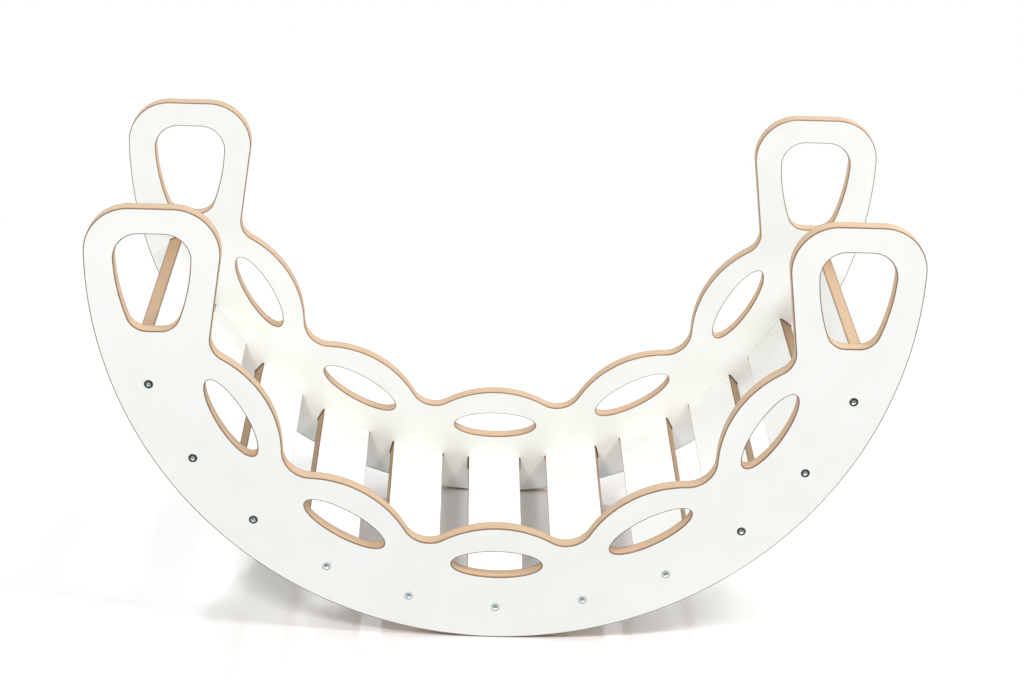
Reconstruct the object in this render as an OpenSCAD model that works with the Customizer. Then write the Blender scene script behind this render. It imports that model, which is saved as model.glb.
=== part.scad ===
// Rocker arch for children: two rocker boards joined by slats.
// The origin is on the floor, below the middle. X runs along the rocker, Y along the slats, Z up.

/* [Rocker] */
// Radius of the edge that rocks on the floor
rocker_r = 450; // [440:1:470]
// Thickness of every board
board_t = 18; // [16:1:20]

/* [Slats] */
// Number of slats
slat_count = 11; // [9:2:11]
// Gap between the rocker boards
gap = 370; // [250:5:500]
// Width of a slat
slat_w = 64; // [60:1:72]
// Angle from one slat to the next
slat_pitch = 13.7; // [13:0.1:14]
// From the rocking edge to the middle of a slat's thickness
slat_inset = 38; // [34:1:40]
// Radius of the eased edges of a slat
edge_ease = 0.75; // [0.25:0.25:3]

/* [Housings] */
// How deep the end of a slat sits in its housing in the rocker board
housing_depth = 3; // [1:0.5:6]
// Radius of the router bit, which rounds the corners of a housing
router_r = 2.5; // [1:0.25:4]

/* [Waved edge] */
// Angle from one wave to the next
wave_pitch = 30; // [29:0.5:30.5]
// How far the centre of the waves lies below the centre of the rocking edge
wave_drop = 19; // [15:1:23]
// From the centre of the waves to a crest
crest_reach = 295.5; // [291:0.5:299]
// From the centre of the waves to the bottom of a trough
trough_reach = 325; // [322:0.5:328]
// Radius of a crest
crest_r = 126; // [120:1:132]

/* [Oval holes] */
// From the centre of the waves to the middle of an oval hole
oval_reach = 340; // [337:1:343]
// Length of an oval hole
oval_length = 101; // [80:1:110]
// Height of an oval hole
oval_height = 31; // [26:1:34]

/* [Hand holds] */
// How far a hand hold rises above the centre of the rocking edge, and its corner radius
handle_rise = 50; // [46:1:54]
// Width of a hand hold at its widest
handle_w = 146; // [142:1:150]
// How far the neck under a hand hold lies below the centre of the rocking edge
neck_drop = 98; // [94:1:102]
// Radius of the hollow of the neck
neck_r = 25; // [22:1:28]
// Width of the hand opening across its upper corners
grip_w = 82; // [76:1:86]
// Width of the hand opening across its lower corners
grip_foot_w = 58; // [54:1:62]
// Height of the hand opening
grip_height = 110; // [100:1:112]
// From the top of the hand hold to the top of the opening
grip_bar = 29; // [27:1:34]
// Radius of the upper corners of the opening
grip_top_r = 28; // [24:1:30]
// Radius of the lower corners of the opening
grip_foot_r = 22; // [18:1:25]
// Radius of the curved sides of the opening
grip_side_r = 225; // [200:5:260]

/* [Screws] */
// Diameter of the screw head
screw_head_d = 10; // [9:0.5:11]
// Diameter of the shank and the thread
screw_d = 7; // [6:0.5:7]
// Length of the screw
screw_length = 50; // [40:1:60]
// Width of the hex socket across its flats
socket_w = 4; // [3:0.5:5]

/* [Dowels] */
// Diameter of a dowel
dowel_d = 8; // [6:1:8]
// Length of a dowel
dowel_length = 30; // [25:1:35]
// How far a dowel reaches into the rocker board, measured from its inner face
dowel_in_board = 12; // [8:1:13]
// From the screw to each dowel beside it
dowel_offset = 20; // [16:1:22]

/* [Hidden] */
$fn = 128;
wave_count = 5;
screw_play = 0.05;    // between a screw or a dowel and its bore
slat_play = 0.05;     // between a slat's faces and its housing
head_sink = 0.3;      // how far the screw head sits below the board's face
reach_out = 1;        // how far a bore is drawn past the face that it opens in
head_rim = 0.7;       // straight rim of the head
head_cone = 2.2;      // countersunk part of the head
socket_depth = 3;
socket_mouth = 0.4;   // depth of the countersunk mouth of the socket
screw_point = 4;      // tapered end of the screw
end_room = 1;         // air past the end of a screw or a dowel in its slat
dowel_chamfer = 1;
rim_reach = 380;      // from the centre of the waves to the corners of the band inside the rocking edge
seam = 0.01;          // how far arcs that touch run into each other, so that they cross cleanly

slat_r = rocker_r - slat_inset;
slat_length = gap + 2 * housing_depth;
corner_gap = max(router_r - edge_ease, slat_play);
// How far a housing runs past each edge of its slat, so that its round corners clear the slat's eased ones
housing_room = slat_play + corner_gap - sqrt(2 * corner_gap * slat_play - slat_play ^ 2);
slat_middle = (slat_count + 1) / 2;
slat_names = [for (i = [1 : slat_count]) str("slat_", i < 10 ? "0" : "", i)];

board_white = [0.93, 0.93, 0.91];
slat_white = [0.97, 0.97, 0.95];
zinc = [0.72, 0.74, 0.75];
beech = [0.86, 0.70, 0.50];

// ---- the outline of a rocker board, drawn flat with the rocking centre at the origin ----

// A point at an angle from straight down, turning towards +X
function polar(r, a) = r * [sin(a), -cos(a)];
function unit(v) = v / norm(v);
function flip(p) = [-p.x, p.y];
// The point at distance r from p, on the way to q
function toward(p, q, r) = p + r * unit(q - p);
// The point at distance rp from p and rq from q, on the right-hand side of the way from p to q
function meet(p, rp, q, rq) =
    let (d = norm(q - p), along = (d * d + rp * rp - rq * rq) / (2 * d),
         aside = sqrt(rp * rp - along * along), u = unit(q - p))
    p + along * u + aside * [u.y, -u.x];

// The waved edge: crests and troughs are arcs that touch each other
last_wave = (wave_count - 1) / 2;
wave_centre = [0, -wave_drop];
crest_centre_reach = crest_reach + crest_r;
slant = crest_centre_reach * cos(wave_pitch / 2);
trough_r = (crest_centre_reach ^ 2 + trough_reach ^ 2 - 2 * trough_reach * slant - crest_r ^ 2)
    / (2 * (crest_r + trough_reach - slant));
function on_wave(reach, k) = wave_centre + polar(reach, k * wave_pitch);
function crest(k) = on_wave(crest_centre_reach, k);
function trough(k) = on_wave(trough_reach - trough_r, k);

// The neck touches the last crest, and a straight line joins it to the hand hold's inner corner
last_crest = crest(last_wave);
neck = [last_crest.x - sqrt((crest_r + neck_r) ^ 2 - (neck_drop + last_crest.y) ^ 2), -neck_drop];
inner_corner = [rocker_r - handle_w + handle_rise, 0];
outer_corner = [rocker_r - handle_rise, 0];
to_neck = neck - inner_corner;
side_angle = atan2(to_neck.y, to_neck.x) - acos((handle_rise + neck_r) / norm(to_neck));
side_normal = [cos(side_angle), sin(side_angle)];
side_top = inner_corner + (handle_rise - seam) * side_normal;
side_foot = neck - neck_r * side_normal;

// The hand opening, about its own middle line
grip_x = rocker_r - handle_w / 2;
grip_top = handle_rise - grip_bar;
grip_foot = grip_top - grip_height;
grip_middle = [0, (grip_top + grip_foot) / 2];
grip_top_corner = [grip_w / 2 - grip_top_r, grip_top - grip_top_r];
grip_foot_corner = [grip_foot_w / 2 - grip_foot_r, grip_foot + grip_foot_r];
grip_side = meet(grip_top_corner, grip_side_r - grip_top_r, grip_foot_corner, grip_side_r - grip_foot_r);

// The part of a disc that lies inside a polygon
module disc_part(centre, r, points) {
    intersection() {
        translate(centre) circle(r);
        polygon(points);
    }
}

module mirrored() {
    children();
    mirror([1, 0]) children();
}

// The band along the rocking edge, which all else grows from
module rim() {
    difference() {
        intersection() {
            circle(rocker_r);
            translate([-rocker_r, -rocker_r]) square([2 * rocker_r, rocker_r]);
        }
        polygon(concat([flip(inner_corner)], [for (k = [-last_wave : last_wave]) on_wave(rim_reach, k)],
            [inner_corner, inner_corner + [0, 1], flip(inner_corner) + [0, 1]]));
    }
}

// What lies beside a crest: a trough, or a neck after the last one
function hollow(k) = abs(k) < last_wave ? trough(k) : [sign(k) * neck.x, neck.y];
function behind_hollow(k) = abs(k) < last_wave ? (crest(k - 0.5) + crest(k + 0.5)) / 2
    : [sign(k) * last_crest.x, neck.y];

module crest_arc(k) {
    c = crest(k);
    left = toward(c, hollow(k - 0.5), crest_r);
    right = toward(c, hollow(k + 0.5), crest_r);
    disc_part(c, crest_r, [behind_hollow(k - 0.5), c, behind_hollow(k + 0.5), right,
        2 * right - c, 2 * left - c, left]);
}

module trough_web(k) {
    polygon([trough(k), crest(k - 0.5), crest(k + 0.5)]);
}

module hand_hold() {
    top_left = inner_corner + [0, handle_rise];
    top_right = outer_corner + [0, handle_rise];
    tip = [rocker_r, 0];
    polygon([neck, last_crest, neck - 2 * neck_r * side_normal]);
    polygon([last_crest, [outer_corner.x, neck.y], tip, top_right, top_left, side_top, side_foot]);
    disc_part(inner_corner, handle_rise, [[grip_x, 0], top_left, 2 * top_left - inner_corner,
        2 * side_top - inner_corner, side_foot]);
    disc_part(outer_corner, handle_rise, [[grip_x, neck.y], tip, 2 * tip - outer_corner,
        2 * top_right - outer_corner, top_right]);
}

module grip_opening() {
    side_r = grip_side_r - seam;
    top = [grip_top_corner.x, grip_top];
    side_top = toward(grip_side, grip_top_corner, side_r);
    side_foot = toward(grip_side, grip_foot_corner, side_r);
    foot = [grip_foot_corner.x, grip_foot];
    polygon([flip(foot), foot, side_foot, side_top, top, flip(top), flip(side_top), flip(side_foot)]);
    mirrored() {
        disc_part(grip_top_corner, grip_top_r, [grip_middle, side_foot, 2 * side_top - grip_top_corner,
            2 * top - grip_top_corner, top]);
        disc_part(grip_side, side_r, [grip_middle, side_foot, 2 * side_foot - grip_middle,
            2 * side_top - grip_middle, side_top]);
        disc_part(grip_foot_corner, grip_foot_r, [grip_middle, foot, 2 * foot - grip_foot_corner,
            2 * side_foot - grip_foot_corner, side_top]);
    }
}

module oval_holes() {
    for (k = [-last_wave : last_wave]) {
        translate(wave_centre) rotate(k * wave_pitch) translate([0, -oval_reach])
            scale([oval_length / oval_height, 1]) circle(d = oval_height);
    }
}

module board_outline() {
    difference() {
        union() {
            rim();
            for (k = [-last_wave : last_wave]) crest_arc(k);
            for (k = [0.5 - last_wave : last_wave - 0.5]) trough_web(k);
            mirrored() hand_hold();
        }
        for (k = [0.5 - last_wave : last_wave - 0.5]) translate(trough(k)) circle(trough_r + seam);
        mirrored() {
            translate(neck) circle(neck_r + seam);
            translate([grip_x, 0]) grip_opening();
        }
        oval_holes();
    }
}

// ---- solids, in the flat frame: the front board's inner face is at z = 0, slats run to -Z ----

module at_slat(i) {
    rotate((i - slat_middle) * slat_pitch) translate([0, -slat_r, 0]) children();
}

module at_every_slat() {
    for (i = [1 : slat_count]) at_slat(i) children();
}

module beside_screw() {
    for (side = [-1, 1]) translate([side * dowel_offset, 0, 0]) children();
}

// A connector screw, or with play the bore that it needs, with its head in the board's outer face
module screw(play = 0) {
    head = screw_head_d / 2 + play;
    shank = screw_d / 2 - screw_play + play;
    top = play > 0 ? head_sink + reach_out : 0;
    rotate_extrude() polygon([[0, top], [head, top], [head, -head_rim], [shank, -head_rim - head_cone],
        [shank, screw_point - screw_length], [shank / 2, -screw_length], [0, -screw_length]]);
}

module hex_socket() {
    hex_r = socket_w / sqrt(3);
    translate([0, 0, -socket_depth]) cylinder(r = hex_r, h = socket_depth + reach_out, $fn = 6);
    translate([0, 0, -socket_mouth]) cylinder(r1 = hex_r, r2 = hex_r + 2 * socket_mouth, h = 2 * socket_mouth);
}

module screws() {
    at_every_slat() translate([0, 0, board_t - head_sink]) difference() {
        screw($fn = 32);
        hex_socket($fn = 32);
    }
}

module dowel() {
    r = dowel_d / 2 - screw_play;
    tip = r - dowel_chamfer;
    rotate_extrude() polygon([[0, 0], [tip, 0], [r, -dowel_chamfer], [r, dowel_chamfer - dowel_length],
        [tip, -dowel_length], [0, -dowel_length]]);
}

module dowels() {
    at_every_slat() beside_screw() translate([0, 0, dowel_in_board]) dowel($fn = 32);
}

// Everything that one end of a slat is drilled for
module joint_bores() {
    translate([0, 0, board_t - head_sink]) {
        screw(play = screw_play, $fn = 32);
        translate([0, 0, -screw_length - end_room]) cylinder(d = screw_d, h = screw_length / 2, $fn = 32);
    }
    beside_screw() {
        translate([0, 0, dowel_in_board - dowel_length - end_room])
            cylinder(d = dowel_d, h = dowel_length + end_room, $fn = 32);
    }
}

// A rectangle with rounded corners, about the origin
module eased_rectangle(w, h, r) {
    square([w - 2 * r, h], center = true);
    square([w, h - 2 * r], center = true);
    for (x = [-1, 1], y = [-1, 1]) translate([x * (w / 2 - r), y * (h / 2 - r)]) circle(r, $fn = 32);
}

// The pocket that the end of a slat sits in
module housing() {
    translate([0, 0, -reach_out]) linear_extrude(housing_depth + reach_out)
        eased_rectangle(slat_w + 2 * housing_room, board_t + 2 * slat_play, router_r);
}

module rocker_board() {
    difference() {
        linear_extrude(board_t) board_outline();
        at_every_slat() {
            housing();
            joint_bores();
        }
    }
}

// A slat in its own frame: the gap between the boards runs from z = 0 to z = -gap
module slat_blank() {
    translate([0, 0, -gap / 2]) intersection() {
        linear_extrude(slat_length, center = true) eased_rectangle(slat_w, board_t, edge_ease);
        rotate([90, 0, 0]) linear_extrude(board_t, center = true)
            eased_rectangle(slat_w, slat_length, edge_ease);
        rotate([0, 90, 0]) linear_extrude(slat_w, center = true)
            eased_rectangle(slat_length, board_t, edge_ease);
    }
}

module slat() {
    difference() {
        slat_blank();
        joint_bores();
        translate([0, 0, -gap]) mirror([0, 0, 1]) joint_bores();
    }
}

// ---- from the flat frame to the standing rocker ----

module front() {
    translate([0, -gap / 2, rocker_r]) rotate([90, 0, 0]) children();
}

module back() {
    mirror([0, 1, 0]) front() children();
}

color(board_white) front() rocker_board();  // front_panel
color(board_white) back() rocker_board();  // back_panel
for (i = [1 : slat_count]) {
    color(slat_white) front() at_slat(i) slat();
}
color(zinc) front() screws();  // front_screws
color(zinc) back() screws();  // back_screws
color(beech) front() dowels();  // front_dowels
color(beech) back() dowels();  // back_dowels
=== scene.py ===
import math

import bpy
import numpy as np
from mathutils import Euler, Matrix, Vector
from mathutils.geometry import delaunay_2d_cdt


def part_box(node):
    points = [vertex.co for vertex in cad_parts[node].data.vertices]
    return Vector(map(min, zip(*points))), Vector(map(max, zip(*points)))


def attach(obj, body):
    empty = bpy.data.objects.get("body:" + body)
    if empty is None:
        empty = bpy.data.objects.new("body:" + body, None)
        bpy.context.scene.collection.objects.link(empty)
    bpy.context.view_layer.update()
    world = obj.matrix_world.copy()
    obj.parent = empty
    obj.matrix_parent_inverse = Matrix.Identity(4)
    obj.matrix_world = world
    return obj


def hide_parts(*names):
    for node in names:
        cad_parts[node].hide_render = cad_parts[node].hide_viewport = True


# A rocker arch for children: two white rocker boards, eleven slats, screws and dowels.
# Metres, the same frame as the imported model. Boards are drawn in millimetres and scaled at the end.

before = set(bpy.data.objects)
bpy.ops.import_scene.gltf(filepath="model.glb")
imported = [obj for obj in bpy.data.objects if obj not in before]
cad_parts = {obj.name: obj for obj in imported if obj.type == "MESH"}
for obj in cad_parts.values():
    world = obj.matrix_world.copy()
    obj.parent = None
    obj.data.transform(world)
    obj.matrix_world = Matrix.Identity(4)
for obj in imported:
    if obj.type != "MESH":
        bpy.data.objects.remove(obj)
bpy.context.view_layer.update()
mm = 0.001

frontLow, frontHigh = (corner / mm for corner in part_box("front_panel"))
rocker = {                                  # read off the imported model, in mm
    "radius": (frontHigh.x - frontLow.x) / 2,
    "thick": frontHigh.y - frontLow.y,
    "gap": -2 * frontHigh.y,                # between the two side boards
}
rocker["rise"] = frontHigh.z - rocker["radius"]     # hand holds above the rocking centre


# flat outlines: x to the right, y up, from the rocking centre

def at(x, y):
    return Vector((x, y))


def polar(reach, angle):                    # degrees from straight down, turning to the right
    return at(reach * math.sin(math.radians(angle)), -reach * math.cos(math.radians(angle)))


def flip(point):
    return at(-point.x, point.y)


def toward(start, end, reach):
    return start + (end - start).normalized() * reach


def meet(p, reachP, q, reachQ):             # on the right-hand side of the way from p to q
    way = q - p
    along = (way.length_squared + reachP ** 2 - reachQ ** 2) / (2 * way.length)
    aside = math.sqrt(reachP ** 2 - along ** 2)
    way.normalize()
    return p + way * along + at(way.y, -way.x) * aside


def arc(centre, start, end, turn, stray=0.015):     # turn 1 goes left, -1 right; stray in mm
    radius = (start - centre).length
    first, last = (math.atan2(p.y - centre.y, p.x - centre.x) for p in (start, end))
    sweep = (last - first) * turn % (2 * math.pi) * turn
    count = math.ceil(abs(sweep) / (2 * math.acos(1 - stray / radius)))
    ways = [at(math.cos(a), math.sin(a)) for a in np.linspace(first, first + sweep, count + 1)]
    return [(centre + radius * way, turn * way) for way in ways]


def oval(centre, tilt, length, height, count=96):
    turned = Matrix.Rotation(math.radians(tilt), 2)
    found = []
    for a in np.linspace(0, -2 * math.pi, count, endpoint=False):
        c, s = math.cos(a), math.sin(a)
        normal = at(-c / length, -s / height).normalized()
        found.append((centre + turned @ at(c * length / 2, s * height / 2), turned @ normal))
    return found


def circle(centre, radius, count):          # clockwise, as every hole runs
    ways = [at(math.cos(a), math.sin(a)) for a in np.linspace(0, -2 * math.pi, count, endpoint=False)]
    return [(centre + radius * way, -way) for way in ways]


shortestStep = 1e-3                         # mm, between two points of an outline


def joined(arcs):                           # one closed loop of (point, normal out of the board)
    loop = []
    for point, normal in (spot for part in arcs for spot in part):
        if not loop or (point - loop[-1][0]).length > shortestStep:
            loop.append((point, normal))
    while (loop[0][0] - loop[-1][0]).length < shortestStep:
        loop.pop()
    return loop


# a board with rounded-over edges, holes and bores

roundOver = [0, 25, 45, 68, 90]             # degrees from the face to the edge
pocketRim = 0.15                            # mm, the broken edge of the laminate round a pocket
samePoint = 1e-6                            # mm, two points this close are one
flatSlack = 1e-7                            # mm, the same where a flat is filled
insideOnly = 2                              # fill inside the outline and leave its holes open
diagonal = 0.707                            # each share of a normal at 45 degrees


def newShape():
    return {"points": [], "faces": [], "normals": [], "rawAndShaded": []}        # bare faces of housings and sockets, darkened further as painted shade


def addRing(shape, points):
    first = len(shape["points"])
    shape["points"] += [tuple(p) for p in points]
    return list(range(first, len(shape["points"])))


def addFace(shape, corners, normals):
    shape["faces"].append(corners)
    shape["normals"] += normals


def addBand(shape, upper, lower, upperNormals, lowerNormals):
    points = shape["points"]
    for i in range(len(upper)):
        j = (i + 1) % len(upper)
        quad = [(lower[i], lowerNormals[i]), (lower[j], lowerNormals[j]),
                (upper[j], upperNormals[j]), (upper[i], upperNormals[i])]
        kept = [corner for k, corner in enumerate(quad)         # a corner of no radius leaves a triangle
                if math.dist(points[corner[0]], points[quad[k - 1][0]]) > samePoint]
        addFace(shape, tuple(point for point, _ in kept), [normal for _, normal in kept])


def addFlat(shape, rings, up):              # fills the plane between an outline and its holes
    corners = [i for ring in rings for i in ring]
    flat = [Vector(shape["points"][i][:2]) for i in corners]
    edges, first = [], 0
    for ring in rings:
        edges += [(first + i, first + (i + 1) % len(ring)) for i in range(len(ring))]
        first += len(ring)
    outside = list(range(len(rings[0])))
    _, _, faces, origins, _, _ = delaunay_2d_cdt(flat, edges, [outside], insideOnly, flatSlack)
    for face in faces:
        face = [corners[origins[i][0]] for i in face]
        addFace(shape, tuple(face if up > 0 else face[::-1]), [(0, 0, up)] * len(face))


def addBore(shape, centre, profile, count=24):      # (radius, z) from the top down; returns its rings
    loops = [circle(centre, radius, count) for radius, _ in profile]
    rings = [addRing(shape, [(p.x, p.y, z) for p, _ in loop]) for loop, (_, z) in zip(loops, profile)]
    for k in range(len(profile) - 1):
        run, fall = profile[k + 1][0] - profile[k][0], profile[k + 1][1] - profile[k][1]
        size = math.hypot(run, fall)
        normals = [(-n.x * fall / size, -n.y * fall / size, -run / size) for _, n in loops[k]]
        addBand(shape, rings[k], rings[k + 1], normals, normals)
    return rings


def easedSlab(outline, holes, thick, ease, bores=(), pockets=()):
    # bores: (centre, profile), open at the top, the bottom or both; a blind end gets a lid
    # pockets: (loop, depth, bores in its floor), open at the bottom
    shape = newShape()
    top, bottom = [], []
    for loop in [outline] + holes:
        rings, normals = [], []
        for side, angles in ((1, roundOver), (-1, roundOver[::-1])):
            for angle in angles:
                out, up = math.sin(math.radians(angle)), math.cos(math.radians(angle))
                z = (thick if side > 0 else 0) - side * ease * (1 - up)
                rings.append(addRing(shape, [(*(p - ease * (1 - out) * n), z) for p, n in loop]))
                normals.append([(n.x * out, n.y * out, side * up) for _, n in loop])
        for k in range(len(rings) - 1):
            addBand(shape, rings[k], rings[k + 1], normals[k], normals[k + 1])
        top.append(rings[0])
        bottom.append(rings[-1])

    def drill(centre, profile, floor, openings):
        rings = addBore(shape, centre, profile)
        if profile[0][1] == thick:
            top.append(rings[0])
        else:
            addFlat(shape, [rings[0]], -1)
        if profile[-1][1] == floor:
            openings.append(rings[-1])
        else:
            addFlat(shape, [rings[-1]], 1)

    for centre, profile in bores:
        drill(centre, profile, 0, bottom)
    for loop, depth, inside in pockets:
        firstFace = len(shape["faces"])
        floor, low = (addRing(shape, [(p.x, p.y, z) for p, _ in loop]) for z in (depth, pocketRim))
        mouth = addRing(shape, [(*(p - pocketRim * n), 0) for p, n in loop])
        walls = [(n.x, n.y, 0) for _, n in loop]
        slopes = [(n.x * diagonal, n.y * diagonal, -diagonal) for _, n in loop]
        addBand(shape, floor, low, walls, walls)
        addBand(shape, low, mouth, slopes, slopes)
        holesInFloor = [floor[::-1]]
        for centre, profile in inside:
            drill(centre, profile, depth, holesInFloor)
        addFlat(shape, holesInFloor, -1)
        # the whole housing, its broken rim too, takes the darkened material: bare fibreboard with painted
        # shade of the slot
        shape["rawAndShaded"] += range(firstFace, len(shape["faces"]))
        bottom.append(mouth)
    addFlat(shape, top, 1)
    addFlat(shape, bottom, -1)
    return shape


def standing(side):                         # from the flat frame: side -1 is the front, 1 the back
    half = rocker["gap"] / 2
    return Matrix(((1, 0, 0, 0), (0, 0, side, side * half), (0, 1, 0, rocker["radius"]), (0, 0, 0, 1)))


def addPiece(name, shape, place, materials, finishes, inBoard, nodes):
    # finishes gives a material number for each face; inBoard is each point in its board's own frame, in mm
    points = np.array(shape["points"], float)
    normals = np.array(shape["normals"], float)
    faces = shape["faces"]
    turn = np.array(place.to_3x3())
    if np.linalg.det(turn) < 0:             # the mirrored side: its faces turn over
        starts = np.cumsum([0] + [len(face) for face in faces])
        normals = np.concatenate([normals[a:b][::-1] for a, b in zip(starts, starts[1:])])
        faces = [face[::-1] for face in faces]
    mesh = bpy.data.meshes.new(name)
    mesh.from_pydata((points @ turn.T + np.array(place.translation)) * mm, [], faces)
    mesh.polygons.foreach_set("use_smooth", [True] * len(faces))
    mesh.polygons.foreach_set("material_index", finishes)
    mesh.attributes.new("inBoard", "FLOAT_VECTOR", "POINT").data.foreach_set("vector", inBoard.ravel())
    for material in materials:
        mesh.materials.append(material)
    mesh.normals_split_custom_set((normals @ turn.T).tolist())
    piece = bpy.data.objects.new(name, mesh)
    bpy.context.scene.collection.objects.link(piece)
    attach(piece, "root")
    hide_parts(*nodes)
    print(f"{name}: {len(faces)} faces")


# materials

def colour(code):                           # sRGB hex to linear
    parts = [int(code[i:i + 2], 16) / 255 for i in (1, 3, 5)]
    return [c / 12.92 if c <= 0.04045 else ((c + 0.055) / 1.055) ** 2.4 for c in parts] + [1]


def newMaterial(name, **sockets):
    material = bpy.data.materials.new(name)
    material.use_nodes = True
    shader = material.node_tree.nodes["Principled BSDF"]
    for socket, value in sockets.items():
        shader.inputs[socket.replace("_", " ")].default_value = value
    return material, shader


def addNode(owner, kind, values=None, links=None, **settings):     # owner: a material or the world
    node = owner.node_tree.nodes.new("ShaderNode" + kind)
    for key, value in settings.items():
        setattr(node, key, value)
    for socket, value in (values or {}).items():
        node.inputs[socket].default_value = value
    for socket, source in (links or {}).items():
        link(owner, source, node.inputs[socket])
    return node


def link(owner, source, target):
    owner.node_tree.links.new(source, target)


laminate = {                                # white melamine laminate, pressed with a fine satin texture
    "pale": "#F5F6F3", "shade": "#F2F3EF",  # a barely seen cloudiness
    "steps": (0.3, 0.7),                    # of it, along the colour ramp
    "cloud": 45,                            # mm
    "grain": 0.7,                           # mm, drawn coarser than the real texture
    "relief": 0.02, "bump": 0.35,           # mm, and how much of it shows
    "rough": {"To Min": 0.34, "To Max": 0.44},
}


def whiteLaminate():                        # gives a soft sheen that breaks up on the fine texture
    material, shader = newMaterial("whiteLaminate", IOR=1.5)
    place = addNode(material, "Attribute", attribute_name="inBoard").outputs["Vector"]
    cloud = addNode(material, "TexNoise", {"Scale": 1 / laminate["cloud"], "Detail": 3}, {"Vector": place})
    ramp = addNode(material, "ValToRGB", links={"Fac": cloud.outputs["Fac"]})
    for stop, step, tone in zip(ramp.color_ramp.elements, laminate["steps"], ("shade", "pale")):
        stop.position, stop.color = step, colour(laminate[tone])
    link(material, ramp.outputs["Color"], shader.inputs["Base Color"])
    grain = addNode(material, "TexNoise", {"Scale": 1 / laminate["grain"], "Detail": 2}, {"Vector": place})
    gloss = addNode(material, "MapRange", laminate["rough"], {"Value": grain.outputs["Fac"]})
    link(material, gloss.outputs["Result"], shader.inputs["Roughness"])
    bump = addNode(material, "Bump", {"Strength": laminate["bump"], "Distance": laminate["relief"] * mm},
                   {"Height": grain.outputs["Fac"]})
    link(material, bump.outputs["Normal"], shader.inputs["Normal"])
    return material


sealedEdge = {                              # fibreboard, routed, sanded and sealed
    "board": {"pale": "#D1B798", "tan": "#C5A786", "dark": "#AE8B69", "skin": "#84644A"},
    "slat": {"pale": "#C4A581", "tan": "#B8966F", "dark": "#9F7B57", "skin": "#775A40"},
    "streak": (14, 14, 0.45),               # mm, pressed layers lie along the board
    "fibre": 0.5,                           # mm, drawn coarser than the real fibres
    "core": 5.4,                            # mm from the middle, where the denser, browner skins begin
    "skinShade": 0.5, "fibreShare": 0.45,   # how brown the skins get; fibres against pressed layers
    "steps": {"skin": 0, "dark": 0.15, "tan": 0.45, "pale": 0.68},      # along the colour ramp
    "relief": 0.06, "bump": 0.5,            # mm, and how much of it shows
    "rough": {"To Min": 0.5, "To Max": 0.68},
    "routedAndShaded": "#6B5138",                    # the floor and walls of a housing: bare fibreboard, darkened further as painted shade of the slot
}


def sealedFibreboard(name, tones):          # gives a warm, almost matt tan with faint pressed layers
    material, shader = newMaterial(name, IOR=1.47)
    place = addNode(material, "Attribute", attribute_name="inBoard").outputs["Vector"]
    layers = addNode(material, "Mapping", {"Scale": [1 / size for size in sealedEdge["streak"]]},
                     {"Vector": place})
    streak = addNode(material, "TexNoise", {"Scale": 1, "Detail": 3}, {"Vector": layers.outputs["Vector"]})
    fibre = addNode(material, "TexNoise", {"Scale": 1 / sealedEdge["fibre"], "Detail": 4},
                    {"Vector": place})
    depth = addNode(material, "SeparateXYZ", links={"Vector": place}).outputs["Z"]
    depth = addNode(material, "Math", links={0: depth}, operation="ABSOLUTE").outputs["Value"]
    skin = addNode(material, "MapRange", {"From Min": sealedEdge["core"], "From Max": rocker["thick"] / 2,
                                          "To Min": 0, "To Max": sealedEdge["skinShade"]},
                   {"Value": depth}, interpolation_type="SMOOTHERSTEP")
    both = addNode(material, "Mix", {"Factor": sealedEdge["fibreShare"]},
                   {"A": streak.outputs["Fac"], "B": fibre.outputs["Fac"]}).outputs["Result"]
    tone = addNode(material, "Math", links={0: both, 1: skin.outputs["Result"]}, operation="SUBTRACT")
    ramp = addNode(material, "ValToRGB", links={"Fac": tone.outputs["Value"]})
    stops, steps = ramp.color_ramp.elements, sealedEdge["steps"]
    stops[0].position, stops[0].color = steps["dark"], colour(tones["dark"])
    stops[1].position, stops[1].color = steps["pale"], colour(tones["pale"])
    for step in ("tan", "skin"):
        stops.new(steps[step]).color = colour(tones[step])
    link(material, ramp.outputs["Color"], shader.inputs["Base Color"])
    gloss = addNode(material, "MapRange", sealedEdge["rough"], {"Value": fibre.outputs["Fac"]})
    link(material, gloss.outputs["Result"], shader.inputs["Roughness"])
    bump = addNode(material, "Bump",
                   {"Strength": sealedEdge["bump"], "Distance": sealedEdge["relief"] * mm},
                   {"Height": both})
    link(material, bump.outputs["Normal"], shader.inputs["Normal"])
    return material


resinLine = {                               # the laminate's paper and resin
    "brown": "#7D6144", "dark": "#564129",
    "mixTone": "#AC9C86", "pale": "#8E7E69",   # paler copy on the back board and the slats: the same line painted lighter as painted light
    "patch": 9,                             # mm
}


def laminateEdge(name, light, dark):        # gives the thin line where the router cut the laminate
    material, shader = newMaterial(name, IOR=1.5, Roughness=0.5)
    place = addNode(material, "Attribute", attribute_name="inBoard").outputs["Vector"]
    patch = addNode(material, "TexNoise", {"Scale": 1 / resinLine["patch"], "Detail": 3}, {"Vector": place})
    mixed = addNode(material, "Mix", {"A": colour(light), "B": colour(dark)},
                    {"Factor": patch.outputs["Fac"]}, data_type="RGBA")
    link(material, mixed.outputs[2], shader.inputs["Base Color"])
    return material


def shadedRoutedFibreboard():                     # gives the dark slot where a housing runs past its slat: bare fibreboard with painted shade
    material, _ = newMaterial("shadedRoutedFibreboard", Base_Color=colour(sealedEdge["routedAndShaded"]),
                              Roughness=0.9, IOR=1.45)
    return material


zincFinish = {
    "colour": "#D6DFE1", "mixTone": "#C1CBCC",
    "grit": 0.25,                           # mm
    "rough": {"To Min": 0.13, "To Max": 0.25},
    "socketShade": "#A9B0B0",                   # the floor of the socket, darkened as painted shade of the recess
}


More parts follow.
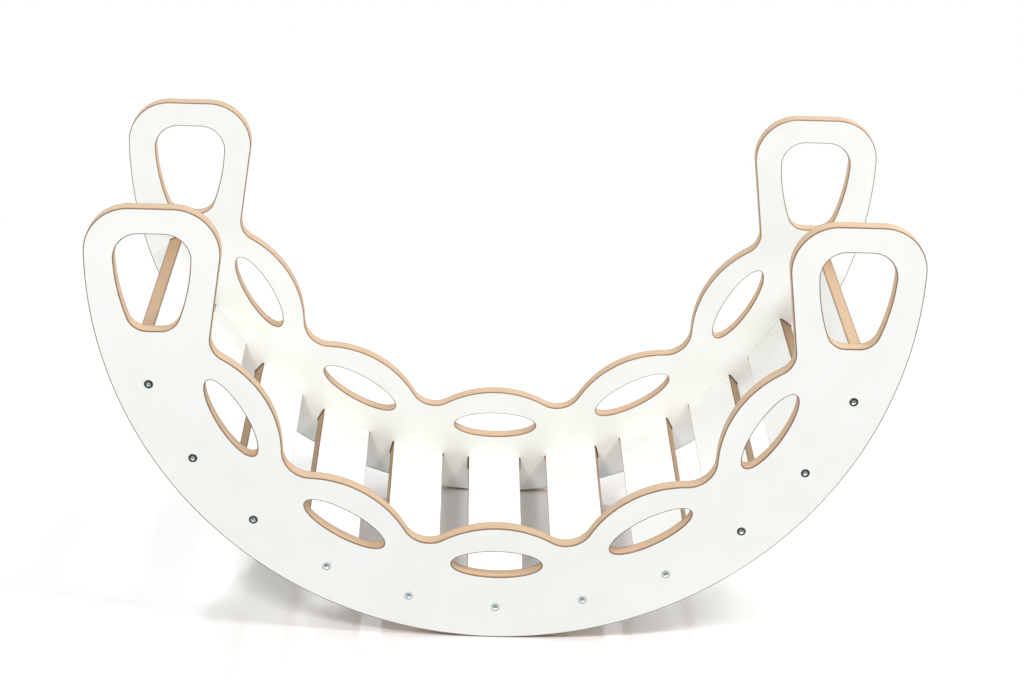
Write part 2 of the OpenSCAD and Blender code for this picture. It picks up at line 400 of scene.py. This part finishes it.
def zincPlatedSteel():                      # gives a cold, slightly cloudy metal with small bright spots
    material, shader = newMaterial("zincPlatedSteel", Metallic=1)
    place = addNode(material, "Attribute", attribute_name="inBoard").outputs["Vector"]
    grit = addNode(material, "TexNoise", {"Scale": 1 / zincFinish["grit"], "Detail": 2}, {"Vector": place})
    mixed = addNode(material, "Mix", {"A": colour(zincFinish["colour"]), "B": colour(zincFinish["mixTone"])},
                    {"Factor": grit.outputs["Fac"]}, data_type="RGBA")
    link(material, mixed.outputs[2], shader.inputs["Base Color"])
    gloss = addNode(material, "MapRange", zincFinish["rough"], {"Value": grit.outputs["Fac"]})
    link(material, gloss.outputs["Result"], shader.inputs["Roughness"])
    return material


def shadedSocketSteel():                         # gives the dull floor of the socket, its darker colour painted shade of the recess
    material, _ = newMaterial("shadedSocketSteel", Base_Color=colour(zincFinish["socketShade"]),
                              Metallic=1, Roughness=0.4)
    return material


beech = {
    "pale": "#E3C49C", "dark": "#C89F70",
    "grain": (0.5, 9, 0.5),                 # mm: across, along, across
    "relief": 0.05, "bump": 0.4,            # mm, and how much of it shows
}


def turnedBeech():                          # gives straight fine grain along each dowel
    material, shader = newMaterial("turnedBeech", IOR=1.45, Roughness=0.55)
    place = addNode(material, "TexCoord").outputs["Object"]
    grain = addNode(material, "Mapping", {"Scale": [1 / (size * mm) for size in beech["grain"]]},
                    {"Vector": place})
    lines = addNode(material, "TexNoise", {"Scale": 1, "Detail": 4}, {"Vector": grain.outputs["Vector"]})
    mixed = addNode(material, "Mix", {"A": colour(beech["pale"]), "B": colour(beech["dark"])},
                    {"Factor": lines.outputs["Fac"]}, data_type="RGBA")
    link(material, mixed.outputs[2], shader.inputs["Base Color"])
    bump = addNode(material, "Bump", {"Strength": beech["bump"], "Distance": beech["relief"] * mm},
                   {"Height": lines.outputs["Fac"]})
    link(material, bump.outputs["Normal"], shader.inputs["Normal"])
    return material


white, routedAndShaded = whiteLaminate(), shadedRoutedFibreboard()
darkLine = laminateEdge("laminateEdge", resinLine["brown"], resinLine["dark"])
# the same cut line painted paler, as painted light, for the more brightly lit back board and slats
litLine = laminateEdge("litLaminateEdge", resinLine["mixTone"], resinLine["pale"])
boardFibre = sealedFibreboard("boardFibreboard", sealedEdge["board"])
slatFibre = sealedFibreboard("slatFibreboard", sealedEdge["slat"])
screwMaterials = [zincPlatedSteel(), shadedSocketSteel()]
print("materials are made")


onFace = 0.01                               # mm, this near to a face is on it


def layersOf(shape, through, middle, thick, line):      # 0 laminate, 1 its cut edge, 2 the board, 3 bare faces darkened as painted shade
    points = np.array(shape["points"], float)[:, through]
    depth = np.array([thick / 2 - abs(points[list(face)].mean() - middle) for face in shape["faces"]])
    found = np.where(depth < onFace, 0, np.where(depth < line, 1, 2))
    found[shape["rawAndShaded"]] = 3
    return found.tolist()


# joints: one connector screw and two dowels at each end of each slat

joint = {                                   # mm
    "headR": 5, "sink": 0.3, "rim": 0.7, "cone": 2.2, "shankR": 3.5, "play": 0.05,
    "length": 50, "room": 1,
    "socket": 4, "socketDeep": 3, "mouth": 0.4,
    "dowelR": 4, "dowelLength": 30, "dowelInBoard": 12, "dowelAside": 20,
    "housing": 3, "routerR": 2.5,           # the pocket that a slat's end sits in
}
slats = {                                   # mm and degrees
    "count": 11, "pitch": 13.7, "width": 64, "inset": 38,
    "ease": 0.75,                           # rounded-over edges
    "line": 0.08,                           # depth of the dark laminate line
    "length": rocker["gap"] + 2 * joint["housing"],
}
cornerGap = joint["routerR"] - slats["ease"]        # a slat's corner has to clear the router's rounder one
housingRoom = joint["play"] + cornerGap - math.sqrt(2 * cornerGap * joint["play"] - joint["play"] ** 2)
slatReach = rocker["radius"] - slats["inset"]
slatAngles = [(i - (slats["count"] - 1) / 2) * slats["pitch"] for i in range(slats["count"])]


def housingLoop(middle, angle):             # clockwise, with the router's round corners
    radius = joint["routerR"]
    right = slats["width"] / 2 + housingRoom - radius
    up = rocker["thick"] / 2 + joint["play"] - radius
    east, north = at(radius, 0), at(0, radius)
    ends = [(at(right, up), north, east), (at(right, -up), east, -north),
            (at(-right, -up), -north, -east), (at(-right, up), -east, north)]
    loop = joined([arc(corner, corner + start, corner + end, -1) for corner, start, end in ends])
    turned = Matrix.Rotation(math.radians(angle), 2)
    return [(middle + turned @ point, turned @ normal) for point, normal in loop]


def boardPockets():
    thick, j = rocker["thick"], joint
    seat = thick - j["sink"] - j["rim"]
    through = [(j["headR"] + j["play"], thick), (j["headR"] + j["play"], seat),
               (j["shankR"], seat - j["cone"]), (j["shankR"], j["housing"])]
    blind = [(j["dowelR"], j["dowelInBoard"]), (j["dowelR"], j["housing"])]
    found = []
    for angle in slatAngles:
        middle = polar(slatReach, angle)
        aside = polar(j["dowelAside"], angle + 90)
        bores = [(middle, through), (middle - aside, blind), (middle + aside, blind)]
        found.append((housingLoop(middle, angle), j["housing"], bores))
    return found


def slatBores():
    j, long = joint, slats["length"]
    screwDeep = j["length"] + j["room"] + j["sink"] - rocker["thick"] + j["housing"]
    dowelDeep = j["dowelLength"] + j["room"] - j["dowelInBoard"] + j["housing"]
    found = []
    for x, radius, deep in ((0, j["shankR"], screwDeep), (-j["dowelAside"], j["dowelR"], dowelDeep),
                            (j["dowelAside"], j["dowelR"], dowelDeep)):
        found.append((at(x, 0), [(radius, long), (radius, long - deep)]))
        found.append((at(x, 0), [(radius, deep), (radius, 0)]))
    return found


# side boards

board = {                                   # mm and degrees
    "ease": 1.2,                            # rounded-over edges
    "line": 0.12,                           # depth of the brown laminate line
    "waves": 5, "wavePitch": 30, "waveDrop": 19, "crestReach": 295.5, "troughReach": 325, "crestR": 126,
    "ovalReach": 340, "ovalLength": 101, "ovalHeight": 31,
    "holdWidth": 146, "neckDrop": 98, "neckR": 25,
    "gripWidth": 82, "gripFoot": 58, "gripHeight": 110, "gripBar": 29,
    "gripTopR": 28, "gripFootR": 22, "gripSideR": 225,
}


def boardOutline():
    b, radius, rise = board, rocker["radius"], rocker["rise"]
    last = (b["waves"] - 1) / 2
    reach = b["crestReach"] + b["crestR"]
    slant = reach * math.cos(math.radians(b["wavePitch"] / 2))
    troughR = (reach ** 2 + b["troughReach"] ** 2 - 2 * b["troughReach"] * slant - b["crestR"] ** 2) / (
        2 * (b["crestR"] + b["troughReach"] - slant))
    base = at(0, -b["waveDrop"])

    def crest(k):
        return base + polar(reach, k * b["wavePitch"])

    def trough(k):
        return base + polar(b["troughReach"] - troughR, k * b["wavePitch"])

    neckUp = -b["neckDrop"]
    lastCrest = crest(last)
    aside = math.sqrt((b["crestR"] + b["neckR"]) ** 2 - (neckUp - lastCrest.y) ** 2)
    neck = at(lastCrest.x - aside, neckUp)
    inner, outer, tip = at(radius - b["holdWidth"] + rise, 0), at(radius - rise, 0), at(radius, 0)
    toNeck = neck - inner
    angle = math.atan2(toNeck.y, toNeck.x) - math.acos((rise + b["neckR"]) / toNeck.length)
    normal = at(math.cos(angle), math.sin(angle))
    sideTop, sideFoot = inner + rise * normal, neck - b["neckR"] * normal
    neckEnd = toward(lastCrest, neck, b["crestR"])
    up = at(0, rise)

    arcs = [arc(at(0, 0), flip(tip), tip, 1), arc(outer, tip, outer + up, 1),
            arc(inner, inner + up, sideTop, 1), arc(neck, sideFoot, neckEnd, -1)]
    start = neckEnd
    for k in np.arange(last, -last - 1, -1):
        hollow = trough(k - 0.5) if k > -last else flip(neck)
        end = toward(crest(k), hollow, b["crestR"])
        arcs.append(arc(crest(k), start, end, 1))
        if k > -last:
            start = toward(crest(k - 1), hollow, b["crestR"])
            arcs.append(arc(hollow, end, start, -1))
    arcs += [arc(flip(neck), flip(neckEnd), flip(sideFoot), -1),
             arc(flip(inner), flip(sideTop), flip(inner) + up, 1),
             arc(flip(outer), flip(outer) + up, flip(tip), 1)]
    return joined(arcs)


def gripOpening(x):
    b = board
    topUp = rocker["rise"] - b["gripBar"]
    footUp = topUp - b["gripHeight"]
    top = at(b["gripWidth"] / 2 - b["gripTopR"], topUp - b["gripTopR"])
    foot = at(b["gripFoot"] / 2 - b["gripFootR"], footUp + b["gripFootR"])
    side = meet(top, b["gripSideR"] - b["gripTopR"], foot, b["gripSideR"] - b["gripFootR"])
    high, low = toward(side, top, b["gripSideR"]), toward(side, foot, b["gripSideR"])
    above, below = at(top.x, topUp), at(foot.x, footUp)
    loop = joined([
        arc(flip(top), flip(high), flip(above), -1), arc(top, above, high, -1), arc(side, high, low, -1),
        arc(foot, low, below, -1), arc(flip(foot), flip(below), flip(low), -1),
        arc(flip(side), flip(low), flip(high), -1)])
    return [(point + at(x, 0), normal) for point, normal in loop]


def boardHoles():
    gripX = rocker["radius"] - board["holdWidth"] / 2
    last = (board["waves"] - 1) / 2
    base = at(0, -board["waveDrop"])
    ovals = [oval(base + polar(board["ovalReach"], k * board["wavePitch"]), k * board["wavePitch"],
                  board["ovalLength"], board["ovalHeight"]) for k in np.arange(-last, last + 1)]
    return ovals + [gripOpening(-gripX), gripOpening(gripX)]


sideBoard = easedSlab(boardOutline(), boardHoles(), rocker["thick"], board["ease"], pockets=boardPockets())
boardFrame = np.array(sideBoard["points"], float) - (0, 0, rocker["thick"] / 2)
backPattern = (900, 0, 0)                   # mm, so that the two boards don't share their patterns
boardLayers = layersOf(sideBoard, 2, rocker["thick"] / 2, rocker["thick"], board["line"])
addPiece("frontBoard", sideBoard, standing(-1), [white, darkLine, boardFibre, routedAndShaded], boardLayers,
         boardFrame, ["front_panel"])
addPiece("backBoard", sideBoard, standing(1), [white, litLine, boardFibre, routedAndShaded], boardLayers,
         boardFrame + backPattern, ["back_panel"])


# slats

def slatOutline():                          # across the slat, x along its width
    ease = slats["ease"]
    right, up = slats["width"] / 2 - ease, rocker["thick"] / 2 - ease
    steps = [0, 22, 45, 68, 90]             # fine beside the white faces
    loop = []
    for quarter, corner in enumerate((at(right, up), at(-right, up), at(-right, -up), at(right, -up))):
        for step in steps:
            way = polar(1, 90 * (quarter + 1) + step)
            loop.append((corner + ease * way, way))
    return loop


slatShape = easedSlab(slatOutline(), [], slats["length"], slats["ease"], slatBores())
slatLayers = layersOf(slatShape, 1, 0, rocker["thick"], slats["line"])
slatPattern = np.array((100, 37, 0))        # mm, from one slat's pattern to the next
for i, angle in enumerate(slatAngles):
    place = standing(-1) @ Matrix.Rotation(math.radians(angle), 4, "Z") @ Matrix.Translation(
        (0, -slatReach, joint["housing"] - slats["length"]))
    slatFrame = np.array(slatShape["points"], float)[:, [0, 2, 1]] + slatPattern * i
    addPiece(f"slat{i + 1:02d}", slatShape, place, [white, litLine, slatFibre, slatFibre], slatLayers,
             slatFrame, [f"slat_{i + 1:02d}"])


# connector screws: countersunk, hex socket, coarse thread inside the slat

screw = {                                   # mm
    "segments": 36,                         # a multiple of 6 and of threadSegments
    "edge": 0.25, "halfEdge": 0.29,         # rounded edge of the head; share of it gone half way round
    "coneOut": 0.82, "coneUp": -0.57,       # normal of the cone under the head
    "flatCore": 2.5, "threadPitch": 3, "ringStep": 0.75, "threadSegments": 12,
    "plain": 10,                            # smooth neck under the head
    "point": 4, "tip": 0.5,                 # length of the point; share of the radius left at its end
    "socketFloor": 0.8,
}


def addScrew(shape, centre, turn):
    s, j, count = screw, joint, screw["segments"]
    top, shankR = rocker["thick"] - j["sink"], j["shankR"] - j["play"]
    spin = Matrix.Rotation(math.radians(turn), 2)
    angles = np.linspace(0, 2 * math.pi, count, endpoint=False)
    around = [at(math.cos(a), math.sin(a)) for a in angles]

    def ring(points, up):
        return addRing(shape, [(*(centre + spin @ p), up) for p in points])

    def leaning(ways, out, up):             # normals that lean out from the screw's middle
        return [(*(spin @ way * out), up) for way in ways]

    # the hex socket: a shallow cone, six flat walls and a small bevel; the cone takes the darker steel as
    # painted shade
    hexagon = [way * j["socket"] / 2 / math.cos((a + math.pi / 6) % (math.pi / 3) - math.pi / 6)
               for a, way in zip(angles, around)]
    tip = addRing(shape, [(*centre, top - j["socketDeep"] - s["socketFloor"])])[0]
    hexLow, hexHigh = ring(hexagon, top - j["socketDeep"]), ring(hexagon, top - j["mouth"])
    slope = math.atan2(s["socketFloor"], j["socket"] / 2)
    floorNormals = leaning(around, -math.sin(slope), math.cos(slope))
    for i in range(count):
        k = (i + 1) % count
        shape["rawAndShaded"].append(len(shape["faces"]))
        addFace(shape, (tip, hexLow[i], hexLow[k]), [floorNormals[i], floorNormals[i], floorNormals[k]])
        side = math.radians(round(math.degrees(angles[i] + math.pi / count) / 60) * 60)
        wall = leaning([at(math.cos(side), math.sin(side))], -1, 0)
        addFace(shape, (hexLow[k], hexLow[i], hexHigh[i], hexHigh[k]), wall * 4)
    mouthR = j["socket"] / math.sqrt(3) + j["mouth"]
    bevel = leaning(around, -diagonal, diagonal)
    upper, upperNormals = ring([way * mouthR for way in around], top), leaning(around, 0, 1)
    addBand(shape, hexHigh, upper, bevel, bevel)

    # over the rounded head and down the cone
    edge, rim = s["edge"], top - j["rim"]
    half = edge * s["halfEdge"]
    for radius, up, out, rise in ((j["headR"] - edge, top, 0, 1),
                                  (j["headR"] - half, top - half, diagonal, diagonal),
                                  (j["headR"], top - edge, 1, 0), (j["headR"], rim, 1, 0)):
        lower, lowerNormals = ring([way * radius for way in around], up), leaning(around, out, rise)
        addBand(shape, upper, lower, upperNormals, lowerNormals)
        upper, upperNormals = lower, lowerNormals
    cone = leaning(around, s["coneOut"], s["coneUp"])
    lower = ring([way * shankR for way in around], rim - j["cone"])
    addBand(shape, upper, lower, cone, cone)

    # the smooth neck and the thread, a helix drawn with fewer points round it
    few = s["threadSegments"]
    step = count // few
    for i in range(0, count, step):
        fan = [lower[(i + n) % count] for n in range(step + 1)]
        addFace(shape, tuple(fan[::-1]), [(0, 0, -1)] * len(fan))
    upper, around = lower[::step], around[::step]
    sides = leaning(around, 1, 0)
    start, end = rim - j["cone"], top - j["length"]
    for up in np.arange(start, end, -s["ringStep"])[1:]:
        radii = []
        for i in range(few):
            wave = abs(((start - up) / s["threadPitch"] + i / few) % 1 * 2 - 1)
            threaded = s["flatCore"] + (shankR - s["flatCore"]) * wave ** 2
            radius = shankR if start - up < s["plain"] else threaded
            radii.append(radius * min(1, s["tip"] + (1 - s["tip"]) * (up - end) / s["point"]))
        lower = ring([way * radius for way, radius in zip(around, radii)], up)
        addBand(shape, upper, lower, sides, sides)
        upper = lower
    addFace(shape, tuple(upper[::-1]), [(0, 0, -1)] * few)


screwTurns = [7, 31, 52, 14, 44, 3, 25, 48, 19, 37, 56]     # degrees: no two stopped alike
for side, name in ((-1, "front"), (1, "back")):
    shape = newShape()
    for angle, turn in zip(slatAngles, screwTurns[::side]):
        addScrew(shape, polar(slatReach, angle), turn)
    shapePoints = np.array(shape["points"], float)
    finishes = np.zeros(len(shape["faces"]), int)
    finishes[shape["rawAndShaded"]] = 1
    addPiece(f"{name}Screws", shape, standing(side), screwMaterials, finishes.tolist(), shapePoints,
             [f"{name}_screws"])

beechDowels = turnedBeech()
for name in ("front_dowels", "back_dowels"):
    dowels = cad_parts[name]
    for materialSlot in dowels.material_slots:
        materialSlot.material = beechDowels
print("slats, screws and dowels are in place")


# floor, light and camera

studio = {
    "floor": 16, "floorColour": "#F4F4F4", "floorRough": 0.09,      # m; white acrylic
    "floorDrop": 0.1,                       # mm, so that no face of the rocker lies in the floor
    "fadeFrom": 0.25, "fadeTo": 1.4,        # m from the middle, where the floor runs out into white
    "worldLight": 0.25,                     # all round
    "lamps": {                              # place and size in m, power in W; all soft boxes
        "leftKey": ((-1.35, -1.8, 2.6), (0.6, 0.6), 41),
        "rightKey": ((1.75, -1.0, 2.6), (0.6, 0.6), 42),
        "frontBox": ((0, -2.4, 2.6), (2.4, 1.6), 18),
        "leftBack": ((-2.2, 1.6, 1.8), (1.4, 1.4), 12),
        "rightBack": ((2.2, 1.6, 1.8), (1.4, 1.4), 34),
        "backSheet": ((0, 2.6, 1.1), (5, 2), 36),
    },
    "aim": (0, 0, 0.2),
    "flag": (6, 3, 0.415),                  # m: width, depth, gap to the middle; the dark room in front
    "flagColour": "#141617",
}


def whiteFloor():                           # gives the faint mirrored rocker and keeps its shadow
    material, shader = newMaterial("whiteAcrylic", Base_Color=colour(studio["floorColour"]),
                                   Roughness=studio["floorRough"], IOR=1.49)
    place = addNode(material, "TexCoord").outputs["Object"]
    away = addNode(material, "VectorMath", links={0: place}, operation="LENGTH").outputs["Value"]
    fade = addNode(material, "MapRange", {"From Min": studio["fadeFrom"], "From Max": studio["fadeTo"]},
                   {"Value": away}, interpolation_type="SMOOTHSTEP").outputs["Result"]
    path = addNode(material, "LightPath").outputs["Is Camera Ray"]
    share = addNode(material, "Math", links={0: fade, 1: path}, operation="MULTIPLY").outputs["Value"]
    bright = addNode(material, "Emission", {"Color": (1, 1, 1, 1), "Strength": 1}).outputs["Emission"]
    mixed = addNode(material, "MixShader", links={0: share, 1: shader.outputs["BSDF"], 2: bright})
    link(material, mixed.outputs["Shader"], material.node_tree.nodes["Material Output"].inputs["Surface"])
    return material


def darkRoom():                             # painted dark reflection: what the screw heads mirror from in front of the white floor
    material, shader = newMaterial("darkRoomReflection", Base_Color=colour(studio["flagColour"]), Roughness=0.9)
    under = addNode(material, "NewGeometry").outputs["Backfacing"]      # the floor mirrors through it
    clear = addNode(material, "BsdfTransparent").outputs["BSDF"]
    mixed = addNode(material, "MixShader", links={0: under, 1: shader.outputs["BSDF"], 2: clear})
    link(material, mixed.outputs["Shader"], material.node_tree.nodes["Material Output"].inputs["Surface"])
    return material


def addSheet(name, corners, material):
    mesh = bpy.data.meshes.new(name)
    mesh.from_pydata(corners, [], [(0, 1, 2, 3)])
    mesh.materials.append(material)
    sheet = bpy.data.objects.new(name, mesh)
    bpy.context.scene.collection.objects.link(sheet)
    return sheet


def addFloor():
    half, under = studio["floor"] / 2, -studio["floorDrop"] * mm
    addSheet("studioFloor", [(-half, -half, under), (half, -half, under), (half, half, under),
                             (-half, half, under)], whiteFloor())
    width, depth, gap = studio["flag"]
    flag = addSheet("darkFlag", [(-width / 2, -gap - depth, 0), (width / 2, -gap - depth, 0),
                                 (width / 2, -gap, 0), (-width / 2, -gap, 0)], darkRoom())
    # seen only in reflections, it stands in for the unlit room in front as a painted dark reflection
    flag.visible_camera = flag.visible_diffuse = flag.visible_shadow = flag.visible_transmission = False


def addWorld():
    world = bpy.data.worlds.new("studioLight")
    bpy.context.scene.world = world
    world.use_nodes = True
    background = world.node_tree.nodes["Background"]
    background.inputs["Color"].default_value = (1, 1, 1, 1)
    path = addNode(world, "LightPath").outputs
    seen = path["Is Camera Ray"]
    for ray in ("Is Glossy Ray", "Is Transmission Ray"):
        seen = addNode(world, "Math", links={0: seen, 1: path[ray]}, operation="MAXIMUM").outputs["Value"]
    strength = addNode(world, "MapRange", {"To Min": studio["worldLight"], "To Max": 1}, {"Value": seen})
    link(world, strength.outputs["Result"], background.inputs["Strength"])


def addLamps():
    for name, (place, size, power) in studio["lamps"].items():
        light = bpy.data.lights.new(name, "AREA")
        light.shape, light.energy = "RECTANGLE", power
        light.size, light.size_y = size
        lamp = bpy.data.objects.new(name, light)
        lamp.location = place
        lamp.rotation_euler = (Vector(studio["aim"]) - Vector(place)).to_track_quat("-Z", "Y").to_euler()
        bpy.context.scene.collection.objects.link(lamp)


lens = {                                    # stands where the photograph was taken from
    "place": (-0.05097, -2.80133, 1.40070),     # m
    "turn": (67.97553, -1.82687, -0.58362),     # degrees: up from straight down, tilted, to the side
    "focal": 91.34, "sensor": 36,           # mm
    "clip": (0.05, 60),                     # m
}


def addCamera():
    data = bpy.data.cameras.new("photoCamera")
    data.sensor_width, data.lens = lens["sensor"], lens["focal"]
    data.clip_start, data.clip_end = lens["clip"]
    camera = bpy.data.objects.new("photoCamera", data)
    turned = Euler([math.radians(angle) for angle in lens["turn"]]).to_matrix().to_4x4()
    camera.matrix_world = Matrix.Translation(lens["place"]) @ turned
    bpy.context.scene.collection.objects.link(camera)
    bpy.context.scene.camera = camera


addFloor()
addWorld()
addLamps()
addCamera()
bpy.context.scene.view_settings.view_transform = "Standard"
print("floor, light and camera are set")
